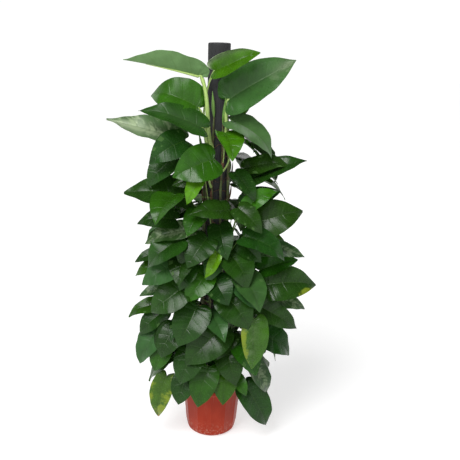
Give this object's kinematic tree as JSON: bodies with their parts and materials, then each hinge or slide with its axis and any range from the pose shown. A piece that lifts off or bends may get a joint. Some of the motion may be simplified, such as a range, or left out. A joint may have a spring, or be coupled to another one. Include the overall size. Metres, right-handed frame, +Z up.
{
  "type": "potted pothos plant",
  "caption": "Tall pothos with heart-shaped leaves climbing an upright netted pole that stands in a round fluted plastic pot.",
  "frame": {"origin": "centre of the flat underside of the pot, on the floor", "axes": "+Z up along the pole, -Y toward the fuller front of the plant, +X to the right seen from the front"},
  "size_m": [0.72, 0.4609, 1.4],
  "materials": {
    "pot_plastic": "satin terracotta-red moulded plastic",
    "soil": "dark crumbly potting mix",
    "pipe_plastic": "grey plastic tube",
    "coir": "brown coconut fibre",
    "net": "black shade net",
    "stem": "pale green living stem",
    "leaf_dark": "deep green waxy leaf",
    "leaf_bright": "mid green glossy leaf",
    "leaf_fresh": "fresh green glossy leaf",
    "leaf_young": "yellow-green young leaf",
    "leaf_pale": "grey-green leaf with a pale sheen",
    "leaf_silver": "green leaf with whitish stripes",
    "leaf_turning": "green leaf half turned yellow-green",
    "leaf_yellow": "yellowing old leaf"
  },
  "bodies": {
    "root": {"coir_wrap": "coir", "leaf_01": "leaf_pale", "leaf_02": "leaf_fresh", "leaf_03": "leaf_dark", "leaf_04": "leaf_fresh", "leaf_05": "leaf_dark", "leaf_06": "leaf_silver", "leaf_07": "leaf_pale", "leaf_08": "leaf_fresh", "leaf_09": "leaf_bright", "leaf_10": "leaf_dark", "leaf_11": "leaf_bright", "leaf_12": "leaf_young", "leaf_13": "leaf_dark", "leaf_14": "leaf_dark", "leaf_15": "leaf_fresh", "leaf_16": "leaf_dark", "leaf_17": "leaf_silver", "leaf_18": "leaf_dark", "leaf_19": "leaf_silver", "leaf_20": "leaf_dark", "leaf_21": "leaf_pale", "leaf_22": "leaf_dark", "leaf_23": "leaf_dark", "leaf_24": "leaf_young", "leaf_25": "leaf_bright", "leaf_26": "leaf_dark", "leaf_27": "leaf_dark", "leaf_28": "leaf_pale", "leaf_29": "leaf_dark", "leaf_30": "leaf_dark", "leaf_31": "leaf_bright", "leaf_32": "leaf_silver", "leaf_33": "leaf_dark", "leaf_34": "leaf_dark", "leaf_35": "leaf_turning", "leaf_36": "leaf_dark", "leaf_37": "leaf_pale", "leaf_38": "leaf_dark", "leaf_39": "leaf_dark", "leaf_40": "leaf_yellow", "leaf_41": "leaf_dark", "leaf_42": "leaf_bright", "leaf_43": "leaf_dark", "leaf_44": "leaf_dark", "leaf_45": "leaf_silver", "leaf_46": "leaf_bright", "net_sleeve": "net", "pole_pipe": "pipe_plastic", "pot": "pot_plastic", "soil": "soil", "vine_1": "stem", "vine_2": "stem", "vine_3": "stem", "vine_4": "stem", "vine_5": "stem", "vine_6": "stem", "vine_7": "stem", "vine_8": "stem", "vine_9": "stem"}
  },
  "joints": []
}
